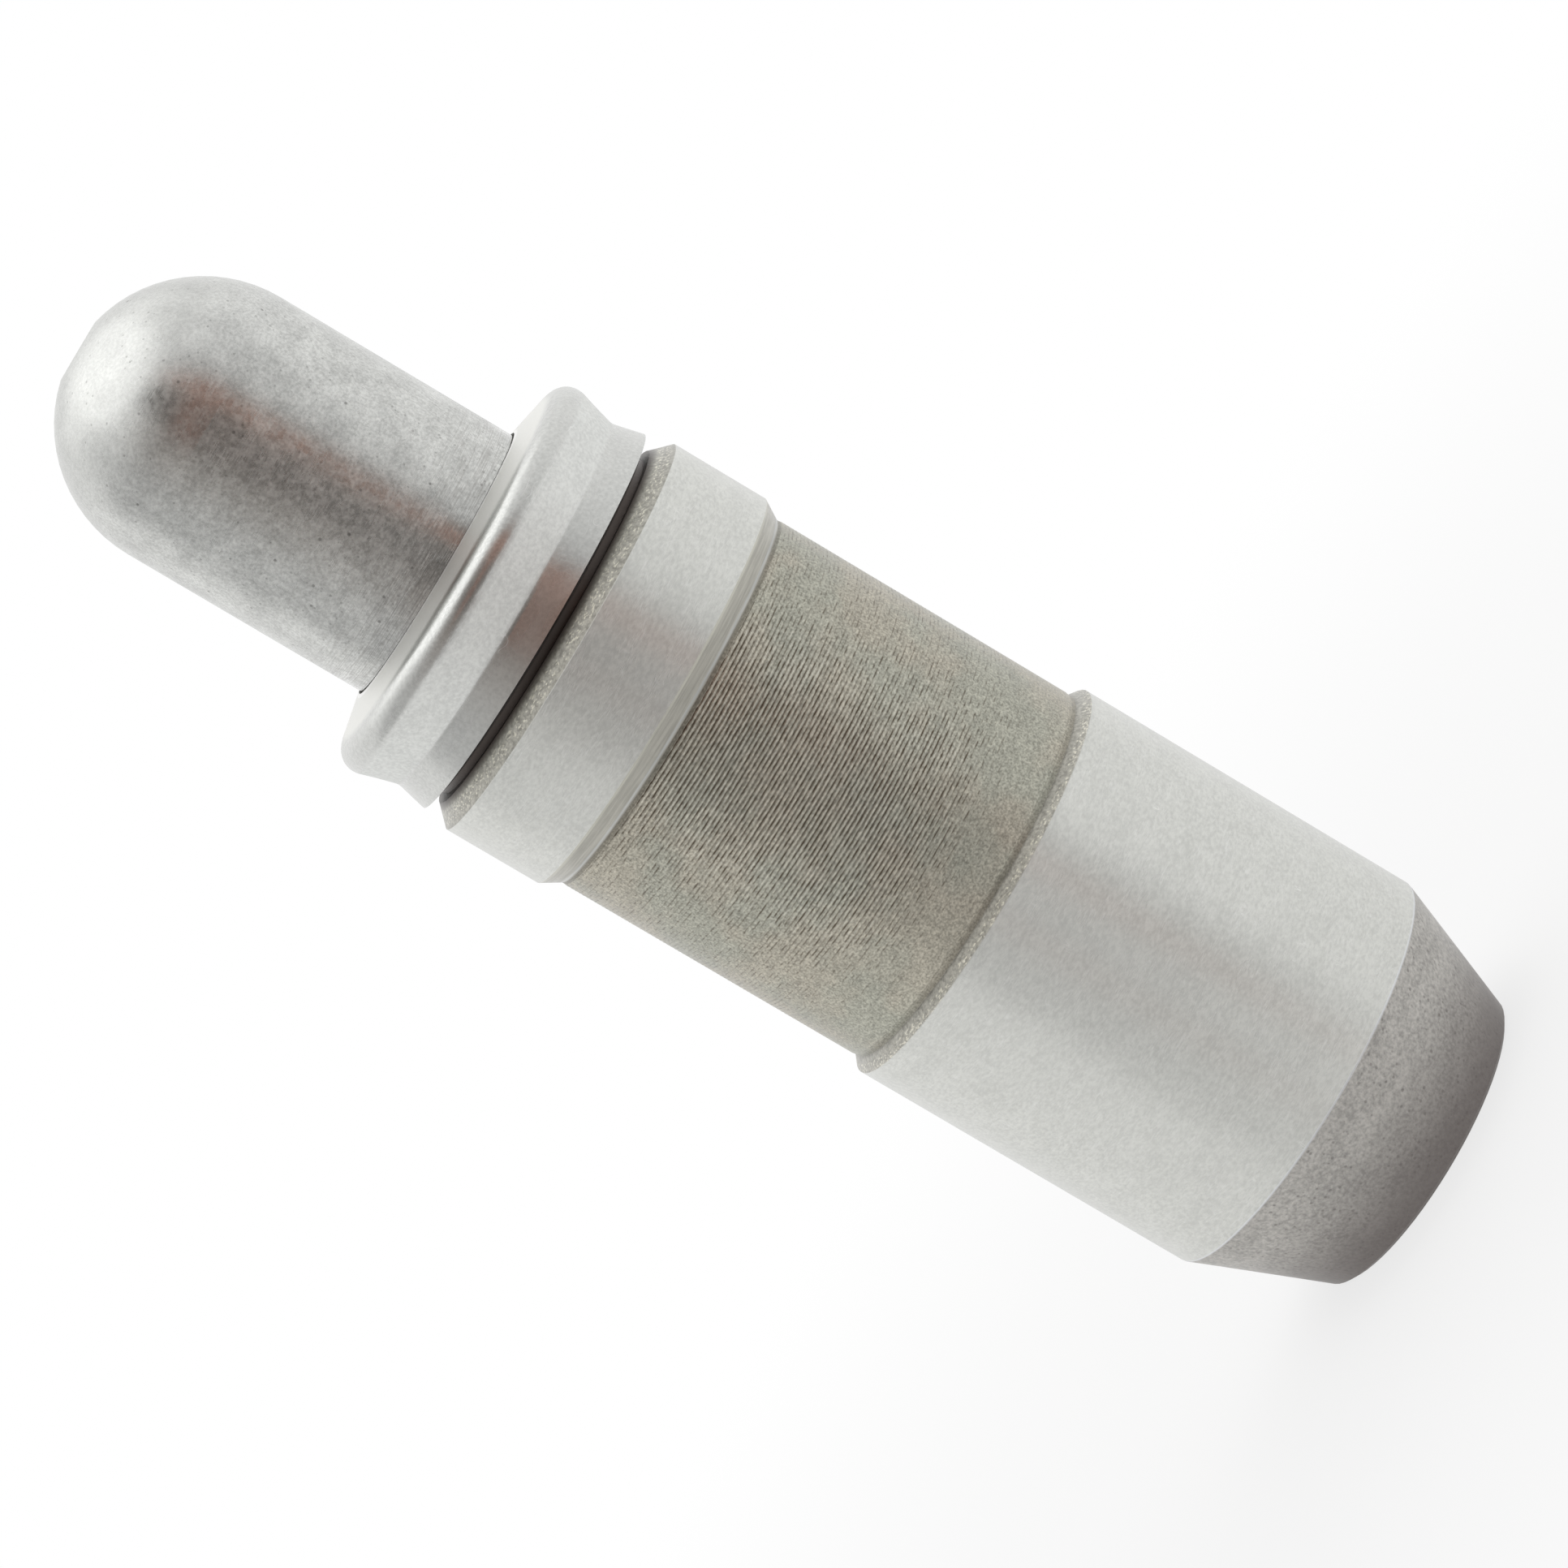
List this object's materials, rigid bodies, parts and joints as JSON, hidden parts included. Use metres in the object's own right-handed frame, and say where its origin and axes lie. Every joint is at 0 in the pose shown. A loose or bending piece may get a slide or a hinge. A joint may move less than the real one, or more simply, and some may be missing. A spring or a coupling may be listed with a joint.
{
  "type": "valve lifter",
  "caption": "Hydraulic end-pivot valve lifter: turned body with a dark oil feed groove, rolled retainer cap and a sprung ball-headed plunger on a caged ball check valve.",
  "frame": {"origin": "centre of the foot's flat face, on the lifter's axis", "axes": "+Z along the axis from the foot towards the ball; +Y towards the radial oil feed hole"},
  "size_m": [0.012, 0.012, 0.0422],
  "materials": {
    "ground_steel": "cylindrically ground lands, with a dark turned groove",
    "cap_steel": "bright formed sheet",
    "plunger_steel": "satin, mottled",
    "inner_steel": "fine turned and lapped",
    "ball_steel": "polished",
    "spring_steel": "drawn wire"
  },
  "bodies": {
    "housing": {"lifter_body": "ground_steel", "retainer_cap": "cap_steel", "plunger_spring": "spring_steel"},
    "lower_plunger": {"leakdown_plunger": "inner_steel", "check_ball_cage": "inner_steel", "check_ball_spring": "spring_steel"},
    "upper_plunger": {"ball_plunger": "plunger_steel"},
    "valve_ball": {"check_ball": "ball_steel"}
  },
  "joints": [
    {"name": "plunger_travel", "type": "slide", "parent": "housing", "child": "lower_plunger", "axis": [0, 0, 1], "range_m": [-0.003, 0], "stiffness_N_per_m": 1200, "springref_m": 0.0004, "deforming": ["plunger_spring"]},
    {"name": "ball_plunger_turn", "type": "hinge", "parent": "lower_plunger", "child": "upper_plunger", "pos_m": [0, 0, 0.025], "axis": [0, 0, 1], "continuous": true},
    {"name": "check_ball_lift", "type": "slide", "parent": "lower_plunger", "child": "valve_ball", "axis": [0, 0, 1], "range_m": [-0.0003, 0], "stiffness_N_per_m": 20, "springref_m": 0.00012, "deforming": ["check_ball_spring"]}
  ]
}
